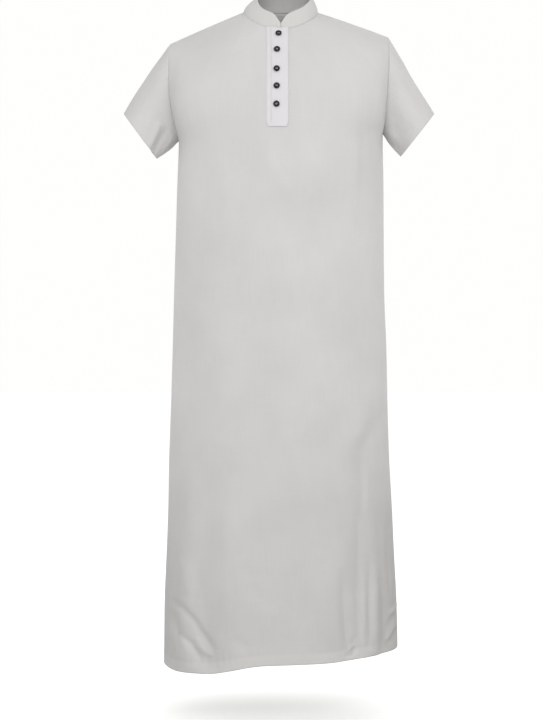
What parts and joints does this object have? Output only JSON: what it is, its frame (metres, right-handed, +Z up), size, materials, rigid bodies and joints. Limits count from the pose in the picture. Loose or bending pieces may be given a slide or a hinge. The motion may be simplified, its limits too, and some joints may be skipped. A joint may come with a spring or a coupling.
{
  "type": "short-sleeved thobe",
  "caption": "Ankle-length short-sleeved robe with a band collar and a buttoned half placket, hollow as worn, hem and cuffs open.",
  "frame": {"origin": "middle of the shoulder line at the base of the neck, where the wearer's shoulders carry the garment", "axes": "+Z up along the garment's length, -Y out of its front, +X to the viewer's right when facing the front"},
  "size_m": [0.662, 0.3458, 1.4313],
  "materials": {
    "cloth": "plain-woven off-white cotton blend, matt, with a faint slub",
    "collar_cloth": "two layers of the body cloth over interfacing, topstitched",
    "placket_cloth": "folded layers of the body cloth, pressed flat and topstitched, a little whiter",
    "button_resin": "polished near-black resin"
  },
  "bodies": {
    "root": {"front": "cloth", "back": "cloth", "sleeve_left": "cloth", "sleeve_right": "cloth", "collar": "collar_cloth", "placket_under": "placket_cloth", "placket_over": "placket_cloth", "button_1": "button_resin", "button_2": "button_resin", "button_3": "button_resin", "button_4": "button_resin", "button_5": "button_resin"}
  },
  "joints": []
}
